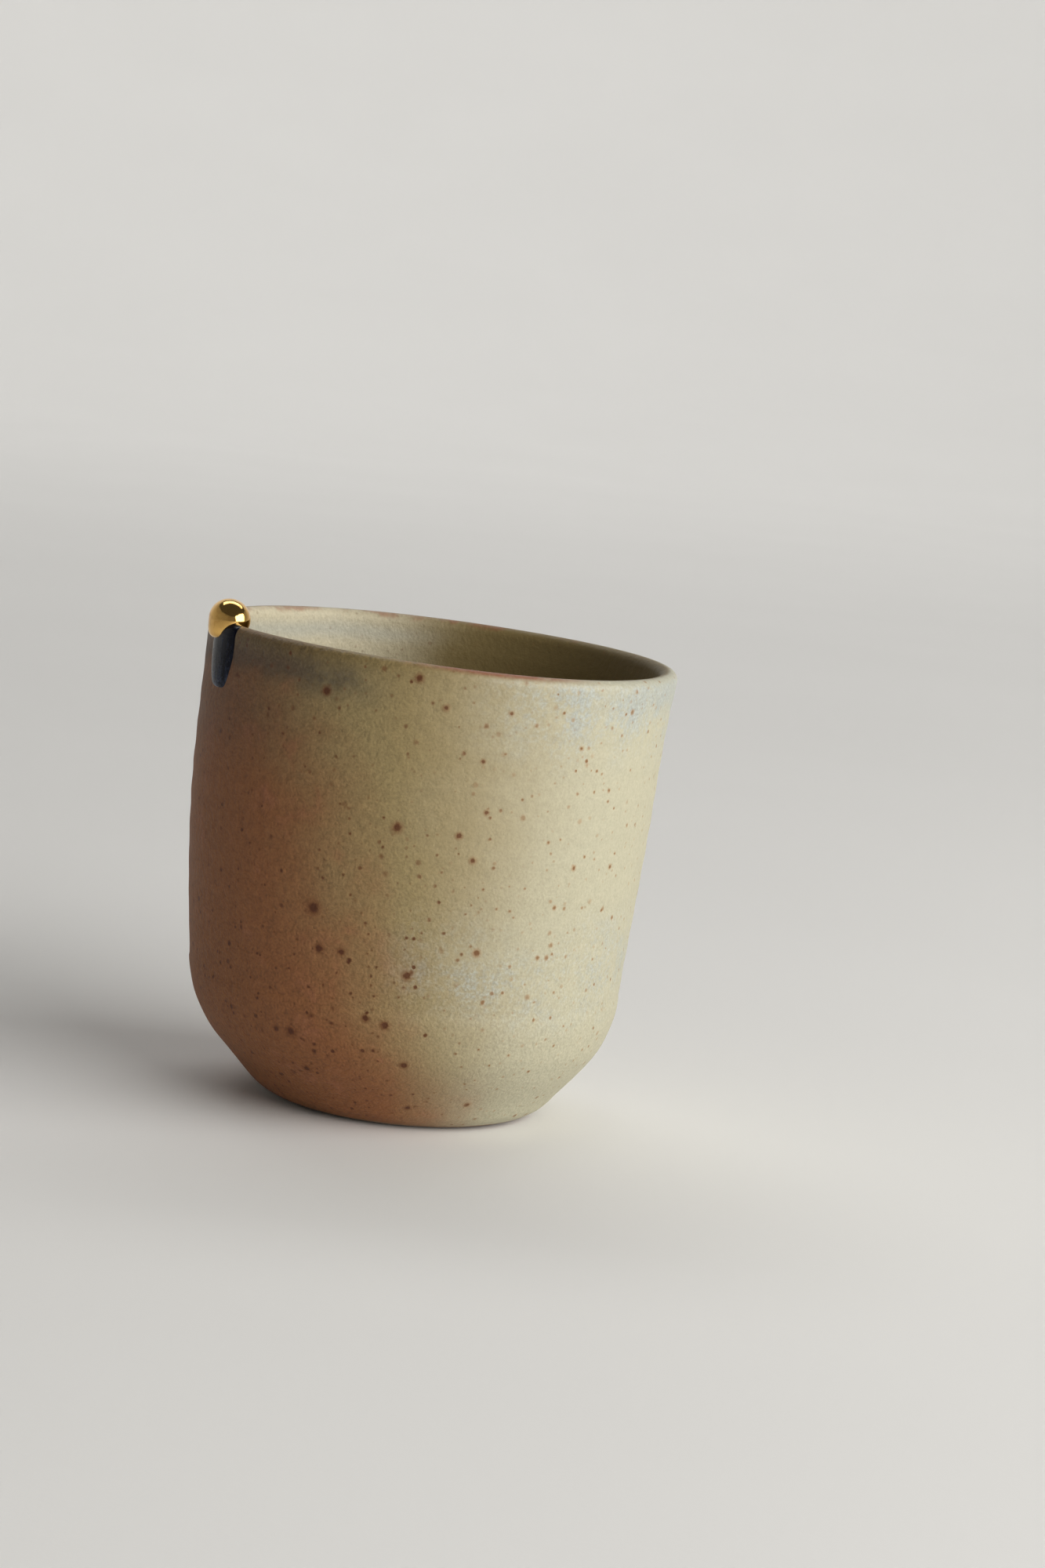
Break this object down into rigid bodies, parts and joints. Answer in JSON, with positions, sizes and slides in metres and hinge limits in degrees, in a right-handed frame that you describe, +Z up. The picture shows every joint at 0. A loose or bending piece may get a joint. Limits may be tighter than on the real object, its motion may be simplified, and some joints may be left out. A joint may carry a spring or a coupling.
{
  "type": "kintsugi cup",
  "caption": "Hand-thrown stoneware cup without a handle, with a gold bead mending its rim and a run of dark blue glaze below the bead.",
  "frame": {"origin": "centre of the flat foot, on the surface that the cup stands on", "axes": "+Z up along the cup's axis; -X towards the gold bead on the rim; +Y completes the frame"},
  "size_m": [0.0919, 0.09, 0.0949],
  "materials": {
    "stoneware": "matt ash-toned glaze over speckled stoneware, fine orange-peel grain",
    "gold": "mirror-polished gold",
    "blue_glaze": "glossy dark blue glass, paler and streaked at its lower end"
  },
  "bodies": {
    "root": {"cup_body": "stoneware", "gold_bead": "gold", "blue_glaze_run": "blue_glaze"}
  },
  "joints": []
}
